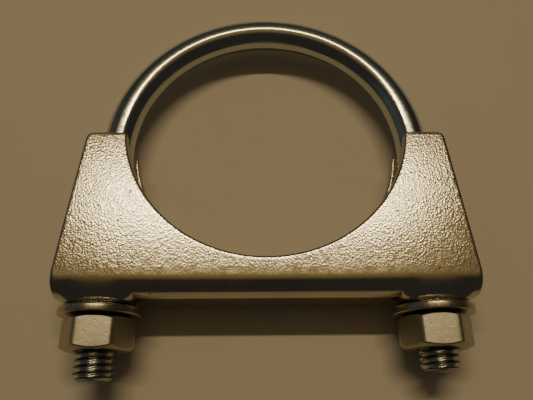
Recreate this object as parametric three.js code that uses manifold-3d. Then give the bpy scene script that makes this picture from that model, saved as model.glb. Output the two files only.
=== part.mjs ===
// A U-bolt saddle clamp for a round pipe: a round rod bent into a U with threaded legs, a folded
// steel saddle that the legs pass through, and a plain washer and a hex nut on each leg.
//
// Millimetres. The clamp lies flat: X runs from leg to leg, +Y points from the nuts towards the
// arch, and +Z is the pipe's own axis. Shapes are drawn about the centre of the arch, with the rod's
// middle plane at Z = 0. The group then moves them, so that the origin is under the box's centre.

import * as THREE from 'three';
import { mergeVertices } from 'three/addons/utils/BufferGeometryUtils.js';
import Module from 'manifold-3d';

// Pipe and rod.
const PIPE_OPENING = 60.9;            // between the legs, inside
const ROD_RADIUS = 3.55;
const LEG_X = PIPE_OPENING / 2 + ROD_RADIUS;
const ARCH_RADIUS = LEG_X;            // of the rod's centre line

// M8 thread on both legs. The thread is a plain cylinder here.
const THREAD_RADIUS = 3.9;
const THREAD_LENGTH = 32;
const THREAD_CHAMFER = 0.9;
const LEFT_LEG_END_Y = -49.7;
const RIGHT_LEG_END_Y = -48.3;

// Saddle: one sheet folded into a channel, with a round seat for the pipe cut in both cheeks.
const SADDLE_WIDTH = 15;              // over both cheeks
const SHEET = 2.8;
const BEND_RADIUS = 4;                // outside
const SEAT_ARC_RADIUS = 30.6;
const SEAT_ARC_CENTRE_Y = 4;
const HORN_TOP_Y = 1.6;
const HORN_OUTER_X = 39.1;
const HORN_CORNER = 1;
const SIDE_MIDDLE_X = 40.9;
const SIDE_MIDDLE_Y = -14.7;
const FOOT_X = 42.6;                  // widest, near the fold
const FOOT_Y = -29.5;
const END_X = 42.1;                   // at the web
const WEB_OUTER_Y = -34.4;
const BOLT_HOLE_RADIUS = 4.7;

// Flat pad pressed out around each bolt hole.
const PAD_HALF_LENGTH = 7;
const PAD_HALF_WIDTH = 6.8;
const PAD_CORNER = 3;
const PAD_OUTER_Y = -35.35;
const PAD_ROOT_Y = -32.4;

// Washers and nuts, with a small gap to what they touch.
const GAP = 0.3;
const WASHER_RADIUS = 8.3;
const WASHER_BORE_RADIUS = 4.4;
const WASHER_THICKNESS = 1.6;
const WASHER_EDGE = 0.25;
const WASHER_TOP_Y = PAD_OUTER_Y - GAP;
const NUT_ACROSS_FLATS = 13;
const NUT_HEIGHT = 6.5;
const NUT_BORE_RADIUS = 4.2;
const NUT_FACE_RADIUS = 6.15;         // the round end face inside the chamfer
const NUT_CHAMFER_HEIGHT = 0.8;
const NUT_TOP_Y = WASHER_TOP_Y - WASHER_THICKNESS - GAP;
const LEFT_NUT_TURN = THREE.MathUtils.degToRad(6);
const RIGHT_NUT_TURN = THREE.MathUtils.degToRad(-6);

// How finely round shapes are cut.
const ROD_SIDES = 20;
const ARCH_STEPS = 40;
const ROUND_SIDES = 36;
const OUTLINE_STEPS = 12;             // of each curve in an outline, and twice that on an arc
const SEAT_ARC_PIECES = 2;
const BEND_STEPS = 4;
const PAD_CORNER_STEPS = 5;

const ARCH_TOP_Y = ARCH_RADIUS + ROD_RADIUS;
const ORIGIN_Y = (ARCH_TOP_Y + LEFT_LEG_END_Y) / 2;

const wasm = await Module();
wasm.setup();

// A closed geometry becomes a solid that can be joined and cut.
function solid(geometry) {
  const bare = geometry.clone();
  bare.deleteAttribute('normal');
  bare.deleteAttribute('uv');
  const merged = mergeVertices(bare, 1e-4);
  const mesh = new wasm.Mesh({
    numProp: 3,
    vertProperties: new Float32Array(merged.attributes.position.array),
    triVerts: new Uint32Array(merged.index.array),
  });
  return new wasm.Manifold(mesh);
}

// The joined or cut solid goes back to a geometry with flat faces.
function geometryOf(manifold) {
  const mesh = manifold.getMesh();
  const geometry = new THREE.BufferGeometry();
  geometry.setAttribute('position', new THREE.BufferAttribute(mesh.vertProperties, 3));
  geometry.setIndex(new THREE.BufferAttribute(mesh.triVerts, 1));
  geometry.computeVertexNormals();
  return geometry;
}

function zincMaterial(colour, roughness) {
  return new THREE.MeshStandardMaterial({ color: colour, roughness, metalness: 1 });
}

function namedMesh(name, geometry, material) {
  const mesh = new THREE.Mesh(geometry, material);
  mesh.name = name;
  return mesh;
}

// A solid of revolution about the Y axis, from (radius, y) corners that close on themselves.
function turned(corners, sides) {
  const profile = corners.map(([radius, y]) => new THREE.Vector2(radius, y));
  profile.push(profile[0].clone());
  return new THREE.LatheGeometry(profile, sides);
}

// The rod's centre line: up one leg, round the arch and down the other. Its sample points fall
// exactly where the legs meet the arch.
class RodLine extends THREE.Curve {
  constructor(startY, endY) {
    super();
    this.startY = startY;
    this.endY = endY;
    this.legShare = 1 / (ARCH_STEPS + 2);
  }

  getPoint(t, target = new THREE.Vector3()) {
    if (t < this.legShare) {
      return target.set(-LEG_X, this.startY * (1 - t / this.legShare), 0);
    }
    if (t > 1 - this.legShare) {
      return target.set(LEG_X, this.endY * (1 - (1 - t) / this.legShare), 0);
    }
    const share = (t - this.legShare) / (1 - 2 * this.legShare);
    const angle = Math.PI * (1 - share);
    return target.set(ARCH_RADIUS * Math.cos(angle), ARCH_RADIUS * Math.sin(angle), 0);
  }

  getUtoTmapping(u) {
    return u;
  }
}

function sweptRod() {
  const section = new THREE.Shape();
  section.absarc(0, 0, ROD_RADIUS, 0, 2 * Math.PI);
  const startY = LEFT_LEG_END_Y + THREAD_LENGTH / 2;
  const endY = RIGHT_LEG_END_Y + THREAD_LENGTH / 2;
  return new THREE.ExtrudeGeometry(section, {
    curveSegments: ROD_SIDES / 2,
    steps: ARCH_STEPS + 2,
    extrudePath: new RodLine(startY, endY),
  });
}

function threadedEnd(x, endY) {
  const topY = endY + THREAD_LENGTH;
  const geometry = turned([
    [0, endY],
    [THREAD_RADIUS - THREAD_CHAMFER, endY],
    [THREAD_RADIUS, endY + THREAD_CHAMFER],
    [THREAD_RADIUS, topY - THREAD_CHAMFER],
    [ROD_RADIUS - THREAD_CHAMFER, topY],
    [0, topY],
  ], ROD_SIDES);
  return geometry.translate(x, 0, 0);
}

function uBoltGeometry() {
  const rod = solid(sweptRod());
  const left = solid(threadedEnd(-LEG_X, LEFT_LEG_END_Y));
  const right = solid(threadedEnd(LEG_X, RIGHT_LEG_END_Y));
  return geometryOf(rod.add(left).add(right));
}

// The outline of both cheeks, seen along the pipe.
function cheekOutline() {
  const rise = HORN_TOP_Y - SEAT_ARC_CENTRE_Y;
  const startAngle = Math.asin(rise / SEAT_ARC_RADIUS);
  const hornInnerX = SEAT_ARC_RADIUS * Math.cos(startAngle);
  const outline = new THREE.Shape();
  const pieceAngle = (Math.PI + 2 * startAngle) / SEAT_ARC_PIECES;
  outline.moveTo(hornInnerX, HORN_TOP_Y);
  for (let piece = 0; piece < SEAT_ARC_PIECES; piece += 1) {
    const from = startAngle - piece * pieceAngle;
    outline.absarc(0, SEAT_ARC_CENTRE_Y, SEAT_ARC_RADIUS, from, from - pieceAngle, true);
  }
  outline.lineTo(-HORN_OUTER_X + HORN_CORNER, HORN_TOP_Y);
  outline.quadraticCurveTo(-HORN_OUTER_X, HORN_TOP_Y, -HORN_OUTER_X, HORN_TOP_Y - HORN_CORNER);
  outline.splineThru(sidePoints(-1));
  outline.lineTo(END_X, WEB_OUTER_Y);
  outline.splineThru(sidePoints(1).reverse().slice(1));
  outline.lineTo(HORN_OUTER_X, HORN_TOP_Y - HORN_CORNER);
  outline.quadraticCurveTo(HORN_OUTER_X, HORN_TOP_Y, HORN_OUTER_X - HORN_CORNER, HORN_TOP_Y);
  outline.closePath();
  return outline;
}

// One side edge, from the horn down to the web.
function sidePoints(side) {
  return [
    new THREE.Vector2(side * SIDE_MIDDLE_X, SIDE_MIDDLE_Y),
    new THREE.Vector2(side * FOOT_X, FOOT_Y),
    new THREE.Vector2(side * END_X, WEB_OUTER_Y),
  ];
}

// The channel's section, drawn with Z across and Y up, open towards the pipe.
function channelSection() {
  const outer = SADDLE_WIDTH / 2;
  const inner = outer - SHEET;
  const innerRadius = BEND_RADIUS - SHEET;
  const bendY = WEB_OUTER_Y + BEND_RADIUS;
  const topY = HORN_TOP_Y + 1;
  const section = new THREE.Shape();
  section.moveTo(-outer, topY);
  section.lineTo(-outer, bendY);
  section.absarc(-outer + BEND_RADIUS, bendY, BEND_RADIUS, Math.PI, 1.5 * Math.PI);
  section.absarc(outer - BEND_RADIUS, bendY, BEND_RADIUS, -0.5 * Math.PI, 0);
  section.lineTo(outer, topY);
  section.lineTo(inner, topY);
  section.absarc(inner - innerRadius, bendY, innerRadius, 0, -0.5 * Math.PI, true);
  section.absarc(-inner + innerRadius, bendY, innerRadius, 1.5 * Math.PI, Math.PI, true);
  section.lineTo(-inner, topY);
  section.closePath();
  return section;
}

// The section runs along X for longer than the saddle, which the cheek outline then trims.
function channelGeometry() {
  const length = 2 * FOOT_X + 4;
  const geometry = new THREE.ExtrudeGeometry(channelSection(), {
    depth: length,
    bevelEnabled: false,
    curveSegments: BEND_STEPS,
  });
  geometry.translate(0, 0, -length / 2);
  return geometry.rotateY(-Math.PI / 2);
}

function padGeometry(x) {
  const pad = new THREE.Shape();
  const left = -PAD_HALF_LENGTH;
  const low = -PAD_HALF_WIDTH;
  pad.moveTo(left + PAD_CORNER, low);
  pad.lineTo(-left - PAD_CORNER, low);
  pad.quadraticCurveTo(-left, low, -left, low + PAD_CORNER);
  pad.lineTo(-left, -low - PAD_CORNER);
  pad.quadraticCurveTo(-left, -low, -left - PAD_CORNER, -low);
  pad.lineTo(left + PAD_CORNER, -low);
  pad.quadraticCurveTo(left, -low, left, -low - PAD_CORNER);
  pad.lineTo(left, low + PAD_CORNER);
  pad.quadraticCurveTo(left, low, left + PAD_CORNER, low);
  const geometry = new THREE.ExtrudeGeometry(pad, {
    depth: PAD_ROOT_Y - PAD_OUTER_Y,
    bevelEnabled: false,
    curveSegments: PAD_CORNER_STEPS,
  });
  return geometry.rotateX(-Math.PI / 2).translate(x, PAD_OUTER_Y, 0);
}

function boltHole(x) {
  const geometry = new THREE.CylinderGeometry(BOLT_HOLE_RADIUS, BOLT_HOLE_RADIUS, 10, ROUND_SIDES);
  return geometry.translate(x, WEB_OUTER_Y, 0);
}

function saddleGeometry() {
  const cheeks = new THREE.ExtrudeGeometry(cheekOutline(), {
    depth: SADDLE_WIDTH + 2,
    bevelEnabled: false,
    curveSegments: OUTLINE_STEPS,
  });
  cheeks.translate(0, 0, -SADDLE_WIDTH / 2 - 1);
  let saddle = solid(channelGeometry()).intersect(solid(cheeks));
  for (const x of [-LEG_X, LEG_X]) {
    saddle = saddle.add(solid(padGeometry(x)));
    saddle = saddle.subtract(solid(boltHole(x)));
  }
  return geometryOf(saddle);
}

function washerGeometry() {
  const outer = WASHER_RADIUS;
  const lowY = -WASHER_THICKNESS;
  return turned([
    [WASHER_BORE_RADIUS, lowY],
    [outer - WASHER_EDGE, lowY],
    [outer, lowY + WASHER_EDGE],
    [outer, -WASHER_EDGE],
    [outer - WASHER_EDGE, 0],
    [WASHER_BORE_RADIUS, 0],
  ], ROUND_SIDES);
}

// A hexagonal prism cut by a cone at each end, bored through.
function nutGeometry() {
  const cornerRadius = NUT_ACROSS_FLATS / Math.sqrt(3);
  const flankRadius = NUT_FACE_RADIUS + (cornerRadius - NUT_FACE_RADIUS) * 1.05;
  const prism = new THREE.CylinderGeometry(cornerRadius, cornerRadius, NUT_HEIGHT, 6);
  prism.rotateY(Math.PI / 6).translate(0, -NUT_HEIGHT / 2, 0);
  const blank = turned([
    [NUT_BORE_RADIUS, -NUT_HEIGHT],
    [NUT_FACE_RADIUS, -NUT_HEIGHT],
    [flankRadius, -NUT_HEIGHT + NUT_CHAMFER_HEIGHT],
    [flankRadius, -NUT_CHAMFER_HEIGHT],
    [NUT_FACE_RADIUS, 0],
    [NUT_BORE_RADIUS, 0],
  ], ROUND_SIDES);
  return geometryOf(solid(prism).intersect(solid(blank)));
}

const brightZinc = zincMaterial(0xc9ccc6, 0.22);
const pressedZinc = zincMaterial(0xc4c3b8, 0.38);
const nutZinc = zincMaterial(0xc6c5bb, 0.32);

const clamp = new THREE.Group();
clamp.position.set(0, -ORIGIN_Y, WASHER_RADIUS);
clamp.add(namedMesh('saddle', saddleGeometry(), pressedZinc));
clamp.add(namedMesh('u_bolt', uBoltGeometry(), brightZinc));

for (const [side, x, turn] of [['left', -LEG_X, LEFT_NUT_TURN], ['right', LEG_X, RIGHT_NUT_TURN]]) {
  const washer = namedMesh(`${side}_washer`, washerGeometry(), brightZinc);
  washer.position.set(x, WASHER_TOP_Y, 0);
  clamp.add(washer);
  const nut = namedMesh(`${side}_nut`, nutGeometry(), nutZinc);
  nut.position.set(x, NUT_TOP_Y, 0);
  nut.rotation.y = turn;
  clamp.add(nut);
}

export default clamp;
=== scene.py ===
"""A zinc-plated U-bolt saddle clamp, lying flat: the looks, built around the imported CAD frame.

Shapes are drawn in millimetres about the centre of the arch, with the rod's middle plane at Z = 0,
and placed in the frame's metres by to_frame(). +X runs from leg to leg, +Y from the nuts to the arch.
The faces of every piece are wound inwards: seen from outside, their corners run clockwise.
"""

import math

import bpy
import numpy as np
from mathutils import Matrix, Vector
from mathutils.geometry import delaunay_2d_cdt


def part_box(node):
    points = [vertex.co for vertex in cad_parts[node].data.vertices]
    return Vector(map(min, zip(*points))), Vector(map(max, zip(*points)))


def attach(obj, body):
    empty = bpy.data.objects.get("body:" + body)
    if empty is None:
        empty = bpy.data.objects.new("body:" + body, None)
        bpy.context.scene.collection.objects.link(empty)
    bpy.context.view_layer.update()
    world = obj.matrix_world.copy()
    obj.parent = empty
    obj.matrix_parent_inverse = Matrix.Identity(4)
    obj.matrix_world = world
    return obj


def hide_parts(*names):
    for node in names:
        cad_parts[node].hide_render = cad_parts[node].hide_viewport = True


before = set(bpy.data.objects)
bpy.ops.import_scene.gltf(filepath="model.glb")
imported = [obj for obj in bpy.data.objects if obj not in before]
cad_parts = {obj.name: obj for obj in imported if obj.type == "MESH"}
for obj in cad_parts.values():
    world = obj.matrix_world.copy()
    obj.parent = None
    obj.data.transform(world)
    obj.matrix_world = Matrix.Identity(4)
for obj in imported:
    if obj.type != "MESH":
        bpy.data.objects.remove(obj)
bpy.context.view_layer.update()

MM = 0.001
UNIT_MM = 1.0 / MM

# Rod and thread, in millimetres.
ROD_RADIUS = 3.55
LEG_LENGTH_DIFFERENCE = 1.4           # the right leg is the shorter one
THREAD_PITCH = 1.25
THREAD_MAJOR = 3.95                   # radius over the crests
THREAD_MINOR = 3.34                   # radius at the roots
THREAD_LENGTH = 32.0
THREAD_RUNOUT = 2.5
THREAD_FLANK_FOOT = 0.80              # from the crest, in half pitches
THREAD_FLANK_WIDTH = 0.62
THREAD_FLANK_STRAIGHT = 0.55          # share of the flank that is straight, not an S-curve
POINT_RADIUS = 3.0                    # of the flat end inside the chamfer
POINT_SLOPE = 1.1
POINT_DISH = 0.10
POINT_RING_SHARES = (0.93, 0.7, 0.45, 0.2)

# Saddle sheet.
SADDLE_WIDTH = 15.0
SHEET = 2.8
BEND_RADIUS = 4.0
SEAT_ARC_RADIUS = 30.6
SEAT_ARC_CENTRE_Y = 4.0
HORN_TOP_Y = 1.6
HORN_OUTER_X = 39.1
HORN_OUTER_CORNER = 1.6
HORN_INNER_CORNER = 0.8
SIDE_BOW = 0.25
FOOT_X = 42.6
FOOT_Y = -29.5
END_X = 42.1
WEB_OUTER_Y = -34.4
BOLT_HOLE_RADIUS = 4.7
EDGE_ROLL = 0.55                      # how far the sheared edge is rounded over
EDGE_BURR = 0.25
PAD_OUTER_Y = -35.35
PAD_HALF_LENGTH = 7.4
PAD_HALF_WIDTH = 7.0
PAD_SQUARENESS = 4                    # 2 makes an oval, more makes squarer corners
PAD_RIM_OUTSIDE = 1.08                # in half sizes: where the rim starts, and where it is full height
PAD_RIM_INSIDE = 0.82
PAD_ABOVE_BEND = 0.6                  # the pressing reaches this far past the top of the bend
PAD_INNER_SINK = 0.35

# Washers and nuts. Bores and mouths are radii.
WASHER_BORE = 4.4
WASHER_ROLL = 0.5
WASHER_BURR = 0.18
WASHER_BORE_ROLL = 0.3
WASHER_RIM_BAND = 2.0
WASHER_BORE_BAND = 1.0
WASHER_WAVE = 0.03
NUT_ACROSS_FLATS = 13.0
NUT_CORNER_BLEND = 0.5
NUT_CORNER_ROUNDING = 0.35
NUT_FACE_RADIUS = 6.1
NUT_CHAMFER_ANGLE = math.radians(30)
NUT_EDGE_SOFTNESS = 0.14
NUT_MOUTH_RADIUS = 4.25
NUT_MOUTH_SLOPE = 1.2
NUT_THREAD_PLAY = 0.07
NUT_REST_TURN = math.radians(6)

# Mesh fineness.
ROD_SIDES = 48
ROWS_PER_PITCH = 12
PLAIN_LEG_ROWS = 14
SEAT_POINTS = 64
HOLE_POINTS = 48
HORN_TOP_POINTS = 12
INNER_CORNER_POINTS = 5
OUTER_CORNER_POINTS = 7
EDGE_ROLL_POINTS = 6
EDGE_STRAIGHT_POINTS = 5
EDGE_BURR_POINTS = 4
OUTLINE_STEP = 0.7
SHEET_GRID = 0.36
WASHER_SIDES = 96
NUT_SIDES_PER_FLAT = 24
NUT_FLAT_SHARES = (0.25, 0.5, 0.75)

# Edges that bend by more than this are shaded sharp.
SHARP_DEGREES = 40
NUT_SHARP_DEGREES = 32
NEVER_SHARP_DEGREES = 180

# Plating colours, light and dark; a darker colour in the sheet's small pits; and painted shade, near black,
# for the thread.
SHEET_COLOURS = (0.64, 0.60, 0.49), (0.55, 0.52, 0.43)
ROD_COLOURS = (0.60, 0.63, 0.61), (0.53, 0.56, 0.54)
SMALL_PART_COLOURS = (0.56, 0.52, 0.41), (0.47, 0.44, 0.36)
PIT_COLOUR = (0.22, 0.19, 0.15)
# Painted shade: near black, painted in bands on the thread's crests.
THREAD_PAINTED_SHADE_COLOUR = (0.06, 0.055, 0.045)
TABLE_COLOURS = (0.78, 0.70, 0.56), (0.82, 0.74, 0.60)

# The middle part of a noise's range, which colours and roughness follow.
CLOUD_SPAN = (0.35, 0.7)
PATCH_SPAN = (0.3, 0.7)

# Table, lamp and room. A glow is a direction, the cosine where it begins, and a colour.
FLOOR_HALF_SIZE = 1.5                 # metres
TUBE_PLACE = (-15, 798, 1900)
TUBE_SIZE = (1350, 60)
TUBE_WATTS = 10.0
TUBE_COLOUR = (1.0, 0.82, 0.52)
WALL_COLOUR = (0.030, 0.027, 0.024)
GLOWS = (
    ((0, 0.95, 0.45), 0.70, (0.050, 0.055, 0.050)),
    ((-0.9, 0.3, 0.35), 0.80, (0.060, 0.070, 0.070)),
    ((0, 0.30, 1.0), 0.80, (0.24, 0.16, 0.055)),
)

# Camera, in drawn millimetres.
CAMERA_PLACE = (-1.61, -56.06, 106.95)
CAMERA_TILT = math.radians(22.57)     # from straight down, towards the arch
CAMERA_PAN = math.radians(0.82)
CAMERA_ROLL = math.radians(-0.21)
CAMERA_LENS = 35.1
CAMERA_SENSOR = 36
CAMERA_NEAR_CLIP = 0.005              # metres


def node_centre(node):
    low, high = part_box(node)
    return (low + high) / 2


LEG_X = node_centre("right_washer").x * UNIT_MM
ARCH_RADIUS = LEG_X
ROD_PLANE_Z = node_centre("u_bolt").z * UNIT_MM
ARCH_CENTRE_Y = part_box("u_bolt")[1].y * UNIT_MM - ARCH_RADIUS - ROD_RADIUS


def to_frame(points):
    """Drawn millimetres to the frame's metres."""
    return (np.asarray(points, float) + [0, ARCH_CENTRE_Y, ROD_PLANE_Z]) * MM


def drawn_heights(node):
    """A node's lowest and highest Y, in drawn millimetres."""
    low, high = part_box(node)
    return low.y * UNIT_MM - ARCH_CENTRE_Y, high.y * UNIT_MM - ARCH_CENTRE_Y


# ---------------------------------------------------------------------------
# Mesh helpers
# ---------------------------------------------------------------------------

def smoothstep(start, end, value):
    """0 at start to 1 at end, eased at both. start may be the greater one."""
    share = np.clip((np.asarray(value, float) - start) / (end - start), 0, 1)
    return share * share * (3 - 2 * share)


def whole_turn(count):
    return np.linspace(0, 2 * math.pi, count, endpoint=False)


def make_piece(name, points, faces, material, node, sharp_degrees=SHARP_DEGREES):
    """A piece that stands for one CAD node. Each node and its body have the same name."""
    mesh = bpy.data.meshes.new(name)
    mesh.from_pydata(to_frame(points).tolist(), [], faces)
    mesh.update()
    mesh.validate()
    mesh.shade_smooth()
    mesh.set_sharp_from_angle(angle=math.radians(sharp_degrees))
    piece = bpy.data.objects.new(name, mesh)
    bpy.context.scene.collection.objects.link(piece)
    mesh.materials.append(material)
    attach(piece, node)
    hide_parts(node)


def grid_faces(rows, columns):
    """Quads between consecutive rings of equal size, each ring closed on itself."""
    faces = []
    for row in range(rows - 1):
        for column in range(columns):
            following = (column + 1) % columns
            a = row * columns + column
            b = row * columns + following
            faces.append((a, b, b + columns, a + columns))
    return faces


# ---------------------------------------------------------------------------
# U-bolt: one rod, swept along its line, with the thread as a change of radius
# ---------------------------------------------------------------------------

def leg_end_y(side):
    low, _ = drawn_heights("u_bolt")
    return low if side < 0 else low + LEG_LENGTH_DIFFERENCE


def thread_height(phase):
    """0 at the root to 1 at the crest, for a phase counted in turns."""
    from_crest = np.abs((phase % 1.0) - 0.5) * 2
    flank = np.clip((THREAD_FLANK_FOOT - from_crest) / THREAD_FLANK_WIDTH, 0, 1)
    return THREAD_FLANK_STRAIGHT * flank + (1 - THREAD_FLANK_STRAIGHT) * smoothstep(0, 1, flank)


def thread_radius(angle, y):
    """A right-handed thread about +Y: angle is counted by the right-hand rule, from +Z."""
    height = thread_height(y / THREAD_PITCH - angle / (2 * math.pi))
    return THREAD_MINOR + (THREAD_MAJOR - THREAD_MINOR) * height


def leg_rows(end_y):
    """Heights along one leg from its end up to the arch: close together on the thread."""
    top_y = end_y + THREAD_LENGTH
    thread = np.arange(end_y, top_y, THREAD_PITCH / ROWS_PER_PITCH)
    plain = np.linspace(top_y, 0, PLAIN_LEG_ROWS)
    return np.concatenate([thread, plain])


def leg_ring(side, y, end_y, angles):
    """One ring of a leg. angles are counted from the outward direction of the bend."""
    across = side * np.cos(angles)
    up = np.sin(angles)
    turn = np.arctan2(across, up)
    depth = y - end_y
    fade = smoothstep(THREAD_LENGTH, THREAD_LENGTH - THREAD_RUNOUT, depth)
    radius = ROD_RADIUS + fade * (thread_radius(turn, y) - ROD_RADIUS)
    radius = np.minimum(radius, POINT_RADIUS + depth * POINT_SLOPE)
    return np.stack([side * LEG_X + across * radius, np.full_like(radius, y), up * radius], axis=1)


def arch_ring(bend_angle, angles):
    out = np.array([math.cos(bend_angle), math.sin(bend_angle), 0])
    reach = ARCH_RADIUS + ROD_RADIUS * np.cos(angles)
    ring = reach[:, None] * out
    ring[:, 2] = ROD_RADIUS * np.sin(angles)
    return ring


def leg_cap(side, end_y, angles):
    """The sheared end of a leg: rings closing on a slightly dished centre."""
    rings = []
    for share in POINT_RING_SHARES:
        radius = POINT_RADIUS * share
        dish = POINT_DISH * math.sqrt(1 - share)
        ring = np.stack([
            side * LEG_X + side * np.cos(angles) * radius,
            np.full_like(angles, end_y + dish),
            np.sin(angles) * radius,
        ], axis=1)
        rings.append(ring)
    return rings


def build_u_bolt(material):
    angles = whole_turn(ROD_SIDES)
    left_end = leg_end_y(-1)
    right_end = leg_end_y(1)
    rings = leg_cap(-1, left_end, angles)[::-1]
    rings += [leg_ring(-1, y, left_end, angles) for y in leg_rows(left_end)]
    arch_steps = round(math.pi * ARCH_RADIUS)
    for step in range(1, arch_steps):
        rings.append(arch_ring(math.pi * (1 - step / arch_steps), angles))
    rings += [leg_ring(1, y, right_end, angles) for y in leg_rows(right_end)[::-1]]
    rings += leg_cap(1, right_end, angles)
    last = (len(rings) - 1) * ROD_SIDES
    faces = grid_faces(len(rings), ROD_SIDES)
    faces.append(tuple(range(ROD_SIDES))[::-1])
    faces.append(tuple(range(last, last + ROD_SIDES)))
    faces = [face[::-1] for face in faces]
    make_piece("u_bolt_rod", np.concatenate(rings), faces, material, "u_bolt")


# ---------------------------------------------------------------------------
# Saddle: a flat blank, meshed with even triangles, then folded and pressed
# ---------------------------------------------------------------------------

HALF_SHEET = SHEET / 2
FLAT_HALF = SADDLE_WIDTH / 2 - BEND_RADIUS
MID_RADIUS = BEND_RADIUS - HALF_SHEET
BEND_LENGTH = MID_RADIUS * math.pi / 2
BEND_TOP_Y = WEB_OUTER_Y + BEND_RADIUS


def blank_height(y):
    """Distance along the unfolded sheet from the middle of the web to height y on a cheek."""
    return FLAT_HALF + BEND_LENGTH + y - BEND_TOP_Y


def fold(x, v, out):
    """A point of the blank, at distance out from its middle surface, goes to its folded place."""
    side = np.sign(v)
    along = np.abs(v)
    turn = np.clip((along - FLAT_HALF) / MID_RADIUS, 0, math.pi / 2)
    radius = MID_RADIUS + out
    rise = np.maximum(along - FLAT_HALF - BEND_LENGTH, 0)
    z = np.minimum(along, FLAT_HALF) + radius * np.sin(turn)
    y = BEND_TOP_Y - radius * np.cos(turn) + rise
    return np.stack([x, y, side * z], axis=1)


def press_pads(points, out):
    """Pushes the web out flat around both bolt holes. The inner quarter of the sheet follows by a little."""
    pressed = points.copy()
    inner = out <= -SHEET / 4
    level = np.where(inner, points[:, 1] - PAD_INNER_SINK, PAD_OUTER_Y + HALF_SHEET - out)
    reached = points[:, 1] < BEND_TOP_Y + PAD_ABOVE_BEND
    deep = np.abs(points[:, 2]) / PAD_HALF_WIDTH
    for side in (-1, 1):
        across = np.abs(points[:, 0] - side * LEG_X) / PAD_HALF_LENGTH
        spread = (across ** PAD_SQUARENESS + deep ** PAD_SQUARENESS) ** (1 / PAD_SQUARENESS)
        amount = smoothstep(PAD_RIM_OUTSIDE, PAD_RIM_INSIDE, spread) * reached
        pressed[:, 1] += amount * np.minimum(level - points[:, 1], 0)
    return pressed


def side_x(y):
    """The side edge of a cheek, slightly bowed out."""
    share = (HORN_TOP_Y - y) / (HORN_TOP_Y - FOOT_Y)
    return HORN_OUTER_X + (FOOT_X - HORN_OUTER_X) * share + SIDE_BOW * share * (1 - share)


def rounded_corner(before, corner, after, size, count):
    """Points of a small curve that takes the place of a corner."""
    before, corner, after = (np.array(p, float) for p in (before, corner, after))
    start = corner + (before - corner) / np.linalg.norm(before - corner) * size
    end = corner + (after - corner) / np.linalg.norm(after - corner) * size
    shares = np.linspace(0, 1, count)[:, None]
    return (1 - shares) ** 2 * start + 2 * shares * (1 - shares) * corner + shares ** 2 * end


def quarter_outline():
    """The blank's edge from the middle of the pipe seat round the right horn to the middle of the
    web's end, as (x, v) points."""
    horn_v = blank_height(HORN_TOP_Y)
    arc_v = blank_height(SEAT_ARC_CENTRE_Y)
    horn_angle = math.asin((HORN_TOP_Y - SEAT_ARC_CENTRE_Y) / SEAT_ARC_RADIUS)
    short_of_corner = 0.03
    angles = np.linspace(-math.pi / 2, horn_angle - short_of_corner, SEAT_POINTS)
    seat = np.stack([SEAT_ARC_RADIUS * np.cos(angles), arc_v + SEAT_ARC_RADIUS * np.sin(angles)], axis=1)

    down_the_side = 4
    horn_inner = (SEAT_ARC_RADIUS * math.cos(horn_angle), horn_v)
    horn_outer = (side_x(HORN_TOP_Y), horn_v)
    below_outer = (side_x(HORN_TOP_Y - down_the_side), horn_v - down_the_side)
    inner_corner = rounded_corner(
        seat[-1], horn_inner, horn_outer, HORN_INNER_CORNER, INNER_CORNER_POINTS)
    outer_corner = rounded_corner(
        horn_inner, horn_outer, below_outer, HORN_OUTER_CORNER, OUTER_CORNER_POINTS)
    top = np.linspace(inner_corner[-1], outer_corner[0], HORN_TOP_POINTS)[1:-1]

    side_y = np.arange(HORN_TOP_Y - HORN_OUTER_CORNER - OUTLINE_STEP, FOOT_Y, -OUTLINE_STEP)
    side = np.stack([side_x(side_y), blank_height(side_y)], axis=1)
    short_of_end = 0.3
    foot_v = np.arange(blank_height(FOOT_Y), short_of_end, -OUTLINE_STEP)
    tuck = smoothstep(blank_height(FOOT_Y), 0, foot_v)
    foot = np.stack([FOOT_X + (END_X - FOOT_X) * tuck, foot_v], axis=1)
    end = np.array([[END_X, 0.0]])
    return np.concatenate([seat, inner_corner, top, outer_corner, side, foot, end])


def blank_outline():
    quarter = quarter_outline()
    right_rear = (quarter * [1, -1])[::-1][1:]
    right = np.concatenate([quarter, right_rear])
    left = (right * [-1, 1])[::-1][1:-1]
    return np.concatenate([right, left])


def hole_outline(side):
    """The bolt hole's edge on the blank: round in plan, so it is longer where the sheet bends."""
    angles = whole_turn(HOLE_POINTS)
    z = BOLT_HOLE_RADIUS * np.sin(angles)
    over = np.clip((np.abs(z) - FLAT_HALF) / MID_RADIUS, 0, 1)
    v = np.minimum(np.abs(z), FLAT_HALF) + MID_RADIUS * np.arcsin(over)
    return np.stack([side * LEG_X + BOLT_HOLE_RADIUS * np.cos(angles), np.sign(z) * v], axis=1)


def loop_normals(loop):
    """Unit normals of a closed loop, pointing to the right of its direction of travel."""
    along = np.roll(loop, -1, axis=0) - np.roll(loop, 1, axis=0)
    normals = np.stack([along[:, 1], -along[:, 0]], axis=1)
    return normals / np.linalg.norm(normals, axis=1)[:, None]


def signed_area(loop):
    x, y = loop[:, 0], loop[:, 1]
    return 0.5 * np.sum(x * np.roll(y, -1) - np.roll(x, -1) * y)


def inside_loop(points, loop):
    """Even-odd test of many points against one loop."""
    result = np.zeros(len(points), bool)
    for (x0, y0), (x1, y1) in zip(loop, np.roll(loop, -1, axis=0)):
        if y0 == y1:
            continue
        crosses = (points[:, 1] < y0) != (points[:, 1] < y1)
        at_x = x0 + (points[:, 1] - y0) * (x1 - x0) / (y1 - y0)
        result ^= crosses & (points[:, 0] < at_x)
    return result


def on_the_sheet(points, loops):
    """Which points lie inside the first loop and outside the others."""
    result = inside_loop(points, loops[0])
    for hole in loops[1:]:
        result &= ~inside_loop(points, hole)
    return result


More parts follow.
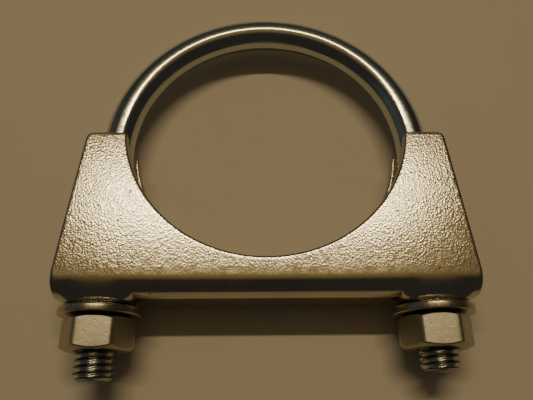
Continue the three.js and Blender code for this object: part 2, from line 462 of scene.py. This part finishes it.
def distance_to_loop(points, loop):
    nearest = np.full(len(points), math.inf)
    for a, b in zip(loop, np.roll(loop, -1, axis=0)):
        edge = b - a
        share = np.clip(((points - a) @ edge) / (edge @ edge), 0, 1)
        gap = np.linalg.norm(points - (a + share[:, None] * edge), axis=1)
        nearest = np.minimum(nearest, gap)
    return nearest


def triangle_grid(low, high):
    """Rows of points, each row shifted by half a step, so that they make even triangles."""
    rows = []
    for index, v in enumerate(np.arange(low[1], high[1], SHEET_GRID * math.sqrt(3) / 2)):
        shift = SHEET_GRID / 2 * (index % 2)
        xs = np.arange(low[0] + shift, high[0], SHEET_GRID)
        rows.append(np.stack([xs, np.full_like(xs, v)], axis=1))
    return np.concatenate(rows)


def blank_mesh(loops):
    """Even triangles that fill the first loop, less the other loops. They run anticlockwise."""
    inner = triangle_grid(loops[0].min(axis=0), loops[0].max(axis=0))
    inner = inner[on_the_sheet(inner, loops)]
    gap = np.min([distance_to_loop(inner, loop) for loop in loops], axis=0)
    inner = inner[gap > SHEET_GRID / 2]
    points = np.concatenate([*loops, inner])

    edges = []
    first = 0
    for loop in loops:
        count = len(loop)
        edges += [(first + i, first + (i + 1) % count) for i in range(count)]
        first += count
    merge_distance = 1e-7
    result = delaunay_2d_cdt([Vector(p) for p in points], edges, [], 0, merge_distance)
    if len(result[0]) != len(points):
        raise RuntimeError("the blank's outline crosses itself")

    triangles = np.array(result[2])
    triangles = triangles[on_the_sheet(points[triangles].mean(axis=1), loops)]
    a, b, c = (points[triangles[:, i]] for i in range(3))
    turn = (b[:, 0] - a[:, 0]) * (c[:, 1] - a[:, 1]) - (b[:, 1] - a[:, 1]) * (c[:, 0] - a[:, 0])
    triangles[turn < 0] = triangles[turn < 0][:, ::-1]
    return points, triangles


def edge_profile():
    """(inset, out) pairs down the sheared edge, from the outer face to the inner one."""
    rolled = []
    for angle in np.linspace(0, math.pi / 2, EDGE_ROLL_POINTS)[1:]:
        inset = EDGE_ROLL * (1 - math.sin(angle))
        rolled.append((inset, HALF_SHEET - EDGE_ROLL * (1 - math.cos(angle))))
    outs = np.linspace(HALF_SHEET - EDGE_ROLL, -HALF_SHEET + EDGE_BURR, EDGE_STRAIGHT_POINTS)[1:]
    straight = [(0, out) for out in outs]
    burr = []
    for angle in np.linspace(math.pi / 2, 0, EDGE_BURR_POINTS)[1:-1]:
        inset = EDGE_ROLL * (1 - math.sin(angle))
        burr.append((inset, -HALF_SHEET + EDGE_BURR * (1 - math.cos(angle))))
    return rolled + straight + burr


def sheet_loops():
    """The blank's outline, anticlockwise, and its two holes, clockwise."""
    loops = []
    for loop, turn in ((blank_outline(), 1), (hole_outline(-1), -1), (hole_outline(1), -1)):
        loops.append(loop if signed_area(loop) * turn > 0 else loop[::-1])
    return loops


def build_saddle(material):
    """The blank's outer face, then the rings down its sheared edges, then its inner face, all folded."""
    loops = sheet_loops()
    rims = np.concatenate(loops)
    normals = np.concatenate([loop_normals(loop) for loop in loops])
    flat, triangles = blank_mesh([loop - loop_normals(loop) * EDGE_ROLL for loop in loops])
    profile = edge_profile()
    blank = [flat]
    outs = [np.full(len(flat), HALF_SHEET)]
    for inset, out in profile:
        blank.append(rims - normals * inset)
        outs.append(np.full(len(rims), out))
    blank.append(flat)
    outs.append(np.full(len(flat), -HALF_SHEET))
    blank = np.concatenate(blank)
    outs = np.concatenate(outs)
    points = press_pads(fold(blank[:, 0], blank[:, 1], outs), outs)

    last = len(blank) - len(flat)
    faces = [tuple(face) for face in triangles[:, ::-1]]
    faces += [tuple(face + last) for face in triangles]
    starts = [0] + [len(flat) + len(rims) * i for i in range(len(profile))] + [last]
    first = 0
    for loop in loops:
        size = len(loop)
        for upper, lower in zip(starts, starts[1:]):
            for i in range(size):
                j = (i + 1) % size
                faces.append((upper + first + i, upper + first + j, lower + first + j, lower + first + i))
        first += size
    make_piece("saddle_sheet", points, faces, material, "saddle", NEVER_SHARP_DEGREES)


# ---------------------------------------------------------------------------
# Washers and nuts: rings of one outline about the leg's axis
# ---------------------------------------------------------------------------

def revolve(name, radii, heights, side, material, node, sharp_degrees=SHARP_DEGREES):
    """radii and heights are (row, column) arrays: one closed outline a column, turned about the leg."""
    rows, columns = radii.shape
    angles = whole_turn(columns)
    points = np.stack([
        side * LEG_X + radii * np.sin(angles),
        heights,
        radii * np.cos(angles),
    ], axis=2).reshape(-1, 3)
    faces = grid_faces(rows, columns)
    last = (rows - 1) * columns
    for column in range(columns):
        following = (column + 1) % columns
        faces.append((last + column, last + following, following, column))
    make_piece(name, points, faces, material, node, sharp_degrees)


def arc_points(centre, radius, start, end, count):
    angles = np.radians(np.linspace(start, end, count))
    return [(centre[0] + radius * math.cos(a), centre[1] + radius * math.sin(a)) for a in angles]


def washer_outline(top, bottom, radius):
    """A punched ring: rolled over on the top edge, crisp with a small burr on the bottom one."""
    roll = WASHER_ROLL
    burr = WASHER_BURR
    bore_roll = WASHER_BORE_ROLL
    rim_band = radius - WASHER_RIM_BAND
    bore_band = WASHER_BORE + WASHER_BORE_BAND
    return (
        arc_points((radius - roll, top - roll), roll, 90, 0, 7)
        + arc_points((radius - burr, bottom + burr), burr, 0, -90, 4)
        + [(rim_band, bottom), (bore_band, bottom)]
        + arc_points((WASHER_BORE + burr, bottom + burr), burr, -90, -180, 4)
        + arc_points((WASHER_BORE + bore_roll, top - bore_roll), bore_roll, 180, 90, 5)
        + [(bore_band, top), (rim_band, top)]
    )


def build_washer(side, node, material):
    bottom, top = drawn_heights(node)
    low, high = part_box(node)
    radius = (high - low).x * UNIT_MM / 2
    outline = np.array(washer_outline(top, bottom, radius))
    radii = np.repeat(outline[:, :1], WASHER_SIDES, axis=1)
    heights = np.repeat(outline[:, 1:], WASHER_SIDES, axis=1)
    heights = heights + WASHER_WAVE * np.sin(2 * whole_turn(WASHER_SIDES) + side) * (radii / radius)
    revolve(f"{node}_ring", radii, heights, side, material, node)


def hexagon_radius(angles):
    """Distance from the nut's axis to its flats, with slightly rounded corners. A flat faces +Z."""
    sixth = math.pi / 3
    local = (angles + sixth / 2) % sixth - sixth / 2
    sharp = NUT_ACROSS_FLATS / 2 / np.cos(local)
    corner = NUT_ACROSS_FLATS / 2 / math.cos(sixth / 2)
    near = np.clip((sharp - (corner - NUT_CORNER_BLEND)) / NUT_CORNER_BLEND, 0, 1)
    return sharp - NUT_CORNER_ROUNDING * NUT_CORNER_BLEND * near ** 2


def nut_outside(flats, top, bottom):
    """(radius, height) rows from the top of the bore, over the chamfers and flats, to its bottom."""
    soft = NUT_EDGE_SOFTNESS
    soft_drop = soft * math.tan(NUT_CHAMFER_ANGLE)
    chamfer = (flats - NUT_FACE_RADIUS) * math.tan(NUT_CHAMFER_ANGLE)
    upper = top - chamfer - soft
    lower = bottom + chamfer + soft
    return [
        (NUT_MOUTH_RADIUS, top),
        (NUT_FACE_RADIUS - soft, top),
        (NUT_FACE_RADIUS + soft, top - soft_drop),
        (flats - soft, top - chamfer + soft_drop),
        (flats, upper),
        *((flats, upper + (lower - upper) * share) for share in NUT_FLAT_SHARES),
        (flats, lower),
        (flats - soft, bottom + chamfer - soft_drop),
        (NUT_FACE_RADIUS + soft, bottom + soft_drop),
        (NUT_FACE_RADIUS - soft, bottom),
        (NUT_MOUTH_RADIUS, bottom),
    ]


def nut_bore(angles, top, bottom):
    """(radius, height) rows of the threaded bore, from the bottom up, countersunk at both mouths."""
    rows = []
    steps = round((top - bottom) / THREAD_PITCH * ROWS_PER_PITCH)
    for y in np.linspace(bottom, top, steps + 1)[1:-1]:
        mouth = NUT_MOUTH_RADIUS - min(y - bottom, top - y) * NUT_MOUTH_SLOPE
        rows.append((np.maximum(thread_radius(angles, y) + NUT_THREAD_PLAY, mouth), y))
    return rows


def build_nut(side, node, material):
    bottom, top = drawn_heights(node)
    angles = whole_turn(6 * NUT_SIDES_PER_FLAT)
    flats = hexagon_radius(angles + NUT_REST_TURN * side)
    rows = nut_outside(flats, top, bottom) + nut_bore(angles, top, bottom)
    radii = np.stack([np.broadcast_to(radius, angles.shape) for radius, _ in rows])
    heights = np.stack([np.broadcast_to(height, angles.shape) for _, height in rows])
    revolve(f"{node}_hex", radii, heights, side, material, node, NUT_SHARP_DEGREES)


# ---------------------------------------------------------------------------
# Materials
# ---------------------------------------------------------------------------

class Nodes:
    """Small helper for building one material's node tree. Its textures are counted per millimetre."""

    def __init__(self, name):
        self.material = bpy.data.materials.new(name)
        self.material.use_nodes = True
        self.tree = self.material.node_tree
        self.shader = self.tree.nodes["Principled BSDF"]
        coordinates = self.tree.nodes.new("ShaderNodeTexCoord")
        scale = self.tree.nodes.new("ShaderNodeVectorMath")
        scale.operation = "SCALE"
        scale.inputs["Scale"].default_value = UNIT_MM
        self.link(coordinates.outputs["Object"], scale.inputs[0])
        self.millimetres = scale.outputs[0]

    def link(self, source, target):
        self.tree.links.new(source, target)

    def along_y(self):
        """The model's Y in millimetres, which is the drawn Y plus ARCH_CENTRE_Y."""
        node = self.tree.nodes.new("ShaderNodeSeparateXYZ")
        self.link(self.millimetres, node.inputs[0])
        return node.outputs["Y"]

    def pointiness(self):
        return self.tree.nodes.new("ShaderNodeNewGeometry").outputs["Pointiness"]

    def noise(self, per_mm, detail=2.0):
        node = self.tree.nodes.new("ShaderNodeTexNoise")
        node.inputs["Scale"].default_value = per_mm
        node.inputs["Detail"].default_value = detail
        self.link(self.millimetres, node.inputs["Vector"])
        return node.outputs["Fac"]

    def cells(self, per_mm, smoothness=None):
        """Distance from the nearest of many scattered points, blended between them if smooth."""
        node = self.tree.nodes.new("ShaderNodeTexVoronoi")
        node.inputs["Scale"].default_value = per_mm
        if smoothness is not None:
            node.feature = "SMOOTH_F1"
            node.inputs["Smoothness"].default_value = smoothness
        self.link(self.millimetres, node.inputs["Vector"])
        return node.outputs["Distance"]

    def remap(self, value, source, target):
        node = self.tree.nodes.new("ShaderNodeMapRange")
        node.inputs["From Min"].default_value = source[0]
        node.inputs["From Max"].default_value = source[1]
        node.inputs["To Min"].default_value = target[0]
        node.inputs["To Max"].default_value = target[1]
        self.link(value, node.inputs["Value"])
        return node.outputs["Result"]

    def math(self, operation, first, second):
        node = self.tree.nodes.new("ShaderNodeMath")
        node.operation = operation
        for value, socket in ((first, node.inputs[0]), (second, node.inputs[1])):
            if isinstance(value, (int, float)):
                socket.default_value = value
            else:
                self.link(value, socket)
        return node.outputs[0]

    def weighted_sum(self, *terms):
        """Adds up (value, weight) pairs."""
        total = self.math("MULTIPLY", *terms[0])
        for value, weight in terms[1:]:
            total = self.math("ADD", total, self.math("MULTIPLY", value, weight))
        return total

    def mix_colour(self, factor, first, second):
        node = self.tree.nodes.new("ShaderNodeMix")
        node.data_type = "RGBA"
        for value, socket in ((first, node.inputs["A"]), (second, node.inputs["B"])):
            if isinstance(value, tuple):
                socket.default_value = (*value, 1)
            else:
                self.link(value, socket)
        self.link(factor, node.inputs["Factor"])
        return node.outputs["Result"]

    def clouded(self, per_mm, colours):
        """Soft drifts between two colours."""
        share = self.remap(self.noise(per_mm, detail=3.0), CLOUD_SPAN, (0, 1))
        return self.mix_colour(share, *colours)

    def patchy(self, per_mm, low_and_high, detail=3.0):
        """Soft patches between two values."""
        return self.remap(self.noise(per_mm, detail), PATCH_SPAN, low_and_high)

    def bump(self, height, depth_mm):
        node = self.tree.nodes.new("ShaderNodeBump")
        node.inputs["Strength"].default_value = 1.0
        node.inputs["Distance"].default_value = depth_mm * MM
        self.link(height, node.inputs["Height"])
        return node.outputs["Normal"]

    def finish(self, colour, roughness, normal, metallic=1.0):
        self.shader.inputs["Metallic"].default_value = metallic
        self.link(colour, self.shader.inputs["Base Color"])
        self.link(roughness, self.shader.inputs["Roughness"])
        self.link(normal, self.shader.inputs["Normal"])
        return self.material


def pebbled_zinc():
    """Plated sheet: a fine pebbled skin with small pits, pulled smooth round the fold."""
    nodes = Nodes("pebbled_zinc")
    pebbles = nodes.cells(per_mm=2.4, smoothness=0.35)
    ripple = nodes.noise(per_mm=2.4, detail=1.0)
    grain = nodes.noise(per_mm=6.5)
    unpitted = nodes.remap(nodes.cells(per_mm=0.30), (0.04, 0.10), (0.0, 1.0))
    height = nodes.weighted_sum((pebbles, 1.15), (ripple, 0.25), (grain, 0.12), (unpitted, 0.8))
    fold_top = BEND_TOP_Y + ARCH_CENTRE_Y
    above_fold = nodes.remap(nodes.along_y(), (fold_top - 0.6, fold_top + 1.6), (0.06, 1.0))
    normal = nodes.bump(nodes.math("MULTIPLY", height, above_fold), depth_mm=0.017)
    colour = nodes.mix_colour(unpitted, PIT_COLOUR, nodes.clouded(0.12, SHEET_COLOURS))
    return nodes.finish(colour, nodes.patchy(0.8, (0.14, 0.20)), normal)


def drawn_rod_zinc():
    """Plated rod: smooth and glossy, with a cool tint in places. Its threads are duller, with painted shade
    in near-black bands on them.
    With the faces wound inwards, a low pointiness marks what stands out: the thread's crests, which carry
    the painted shade."""
    nodes = Nodes("drawn_rod_zinc")
    height = nodes.weighted_sum((nodes.noise(per_mm=0.35), 0.8), (nodes.noise(per_mm=6.0), 0.06))
    normal = nodes.bump(height, depth_mm=0.02)
    thread_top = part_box("u_bolt")[0].y * UNIT_MM + THREAD_LENGTH
    threaded = nodes.remap(nodes.along_y(), (thread_top - 1, thread_top + 1), (1.0, 0.0))
    crests = nodes.remap(nodes.pointiness(), (0.45, 0.51), (1, 0))
    # Painted shade: the thread's crests are painted near black.
    painted_shade = nodes.math("MULTIPLY", crests, threaded)
    colour = nodes.mix_colour(painted_shade, nodes.clouded(0.18, ROD_COLOURS), THREAD_PAINTED_SHADE_COLOUR)
    roughness = nodes.math("ADD", nodes.patchy(1.2, (0.11, 0.18)), nodes.math("MULTIPLY", threaded, 0.12))
    return nodes.finish(colour, roughness, normal)


def washer_zinc():
    """Plated washer: satin, softly uneven from punching."""
    nodes = Nodes("washer_zinc")
    uneven = nodes.noise(per_mm=1.4, detail=3.0)
    normal = nodes.bump(nodes.weighted_sum((uneven, 1.0), (nodes.noise(per_mm=7.0), 0.1)), depth_mm=0.02)
    colour = nodes.clouded(0.3, SMALL_PART_COLOURS)
    return nodes.finish(colour, nodes.patchy(1.5, (0.22, 0.34)), normal)


def nut_zinc():
    """Plated nut: satin flats with small dents."""
    nodes = Nodes("nut_zinc")
    uneven = nodes.noise(per_mm=1.0, detail=3.0)
    undented = nodes.remap(nodes.cells(per_mm=0.9), (0.05, 0.3), (0.0, 1.0))
    height = nodes.weighted_sum((uneven, 1.0), (undented, 0.5), (nodes.noise(per_mm=6.0), 0.1))
    colour = nodes.clouded(0.25, SMALL_PART_COLOURS)
    return nodes.finish(colour, nodes.patchy(1.3, (0.34, 0.44)), nodes.bump(height, depth_mm=0.02))


def tabletop():
    nodes = Nodes("tabletop")
    colour = nodes.mix_colour(nodes.noise(per_mm=0.02, detail=3.0), *TABLE_COLOURS)
    normal = nodes.bump(nodes.noise(per_mm=1.5, detail=3.0), depth_mm=0.02)
    return nodes.finish(colour, nodes.patchy(0.5, (0.6, 0.7), detail=2.0), normal, metallic=0.0)


# ---------------------------------------------------------------------------
# Floor, light and camera
# ---------------------------------------------------------------------------

def build_floor():
    """A plain tabletop. It leans with the clamp, which lies on its washers and its rear horns."""
    washer_y = node_centre("left_washer").y
    horn_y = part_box("saddle")[1].y
    washer_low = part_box("left_washer")[0].z
    lean = (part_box("saddle")[0].z - washer_low) / (horn_y - washer_y)
    half = FLOOR_HALF_SIZE
    corners = [
        (x, y, washer_low + lean * (y - washer_y))
        for x, y in ((-half, -half), (half, -half), (half, half), (-half, half))
    ]
    mesh = bpy.data.meshes.new("tabletop")
    mesh.from_pydata(corners, [], [(0, 1, 2, 3)])
    mesh.materials.append(tabletop())
    floor = bpy.data.objects.new("tabletop", mesh)
    bpy.context.scene.collection.objects.link(floor)


def build_tube_lamp():
    """A long warm tube on the ceiling, a little beyond the clamp, parallel to X."""
    light = bpy.data.lights.new("tube_lamp", "AREA")
    light.shape = "RECTANGLE"
    light.size = TUBE_SIZE[0] * MM
    light.size_y = TUBE_SIZE[1] * MM
    light.energy = TUBE_WATTS
    light.color = TUBE_COLOUR
    lamp = bpy.data.objects.new("tube_lamp", light)
    place, aim = (Vector(point) for point in to_frame([TUBE_PLACE, (0, 0, 0)]))
    lamp.location = place
    lamp.rotation_euler = (aim - place).to_track_quat("-Z", "Y").to_euler()
    bpy.context.scene.collection.objects.link(lamp)


def add_glow(tree, direction, colour_so_far, towards, begins, colour):
    """Blends a soft round glow, centred on one direction, into the room's colour so far."""
    dot = tree.nodes.new("ShaderNodeVectorMath")
    dot.operation = "DOT_PRODUCT"
    dot.inputs[1].default_value = Vector(towards).normalized()
    tree.links.new(direction, dot.inputs[0])
    fade = tree.nodes.new("ShaderNodeMapRange")
    fade.interpolation_type = "SMOOTHSTEP"
    fade.inputs["From Min"].default_value = begins
    fade.inputs["From Max"].default_value = 1.0
    tree.links.new(dot.outputs["Value"], fade.inputs["Value"])
    mix = tree.nodes.new("ShaderNodeMix")
    mix.data_type = "RGBA"
    mix.inputs["B"].default_value = (*colour, 1)
    if isinstance(colour_so_far, tuple):
        mix.inputs["A"].default_value = (*colour_so_far, 1)
    else:
        tree.links.new(colour_so_far, mix.inputs["A"])
    tree.links.new(fade.outputs["Result"], mix.inputs["Factor"])
    return mix.outputs["Result"]


def build_world():
    """A dim room: dark at its walls, with a warm glow on the ceiling round the lamp."""
    world = bpy.data.worlds.new("room")
    world.use_nodes = True
    tree = world.node_tree
    background = tree.nodes["Background"]
    direction = tree.nodes.new("ShaderNodeTexCoord").outputs["Generated"]
    colour = WALL_COLOUR
    for towards, begins, glow_colour in GLOWS:
        colour = add_glow(tree, direction, colour, towards, begins, glow_colour)
    tree.links.new(colour, background.inputs["Color"])
    background.inputs["Strength"].default_value = 1.0
    bpy.context.scene.world = world


def build_camera():
    """Above the nuts, looking down and towards the arch."""
    forward = Vector((math.sin(CAMERA_PAN), math.sin(CAMERA_TILT), -math.cos(CAMERA_TILT))).normalized()
    level_up = Vector((0, math.cos(CAMERA_TILT), math.sin(CAMERA_TILT)))
    right = forward.cross(level_up).normalized()
    up = right.cross(forward)
    turned_right = right * math.cos(CAMERA_ROLL) + up * math.sin(CAMERA_ROLL)
    turned_up = up * math.cos(CAMERA_ROLL) - right * math.sin(CAMERA_ROLL)
    rotation = Matrix((turned_right, turned_up, -forward)).transposed()
    data = bpy.data.cameras.new("camera")
    data.lens = CAMERA_LENS
    data.sensor_width = CAMERA_SENSOR
    data.clip_start = CAMERA_NEAR_CLIP
    camera = bpy.data.objects.new("camera", data)
    camera.matrix_world = Matrix.Translation(to_frame([CAMERA_PLACE])[0]) @ rotation.to_4x4()
    bpy.context.scene.collection.objects.link(camera)
    bpy.context.scene.camera = camera


build_camera()
build_floor()
build_tube_lamp()
build_world()

build_u_bolt(drawn_rod_zinc())
build_saddle(pebbled_zinc())
washer_material = washer_zinc()
nut_material = nut_zinc()
for side, word in ((-1, "left"), (1, "right")):
    build_washer(side, f"{word}_washer", washer_material)
    build_nut(side, f"{word}_nut", nut_material)
